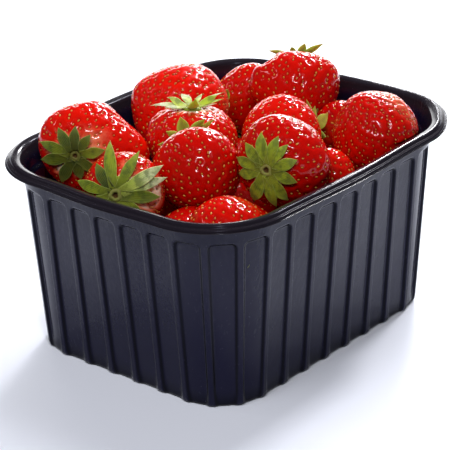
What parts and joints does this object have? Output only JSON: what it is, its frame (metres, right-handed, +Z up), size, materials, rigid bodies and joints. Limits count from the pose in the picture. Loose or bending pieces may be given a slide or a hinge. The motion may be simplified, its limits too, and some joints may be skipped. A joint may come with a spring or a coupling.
{
  "type": "punnet of strawberries",
  "caption": "Ribbed black plastic fruit punnet with a stepped rolled rim, heaped above the brim with whole red strawberries that keep their green leaves.",
  "frame": {"origin": "middle of the footprint, on the surface that the punnet stands on", "axes": "+X along the long side, +Y along the short side, +Z up out of the open top"},
  "size_m": [0.1438, 0.119, 0.0907],
  "materials": {
    "tray_plastic": "glossy blue-black thermoformed sheet with fine rubbed scratches",
    "berry_flesh": "moist glossy red skin, dimpled round each seed, paler at the shoulder",
    "berry_leaf": "soft matt green leaf with a pale vein and a paler underside",
    "berry_seed": "satin golden seed"
  },
  "bodies": {
    "root": {"punnet_tray": "tray_plastic", "strawberry_heap": "berry_flesh"}
  },
  "joints": []
}
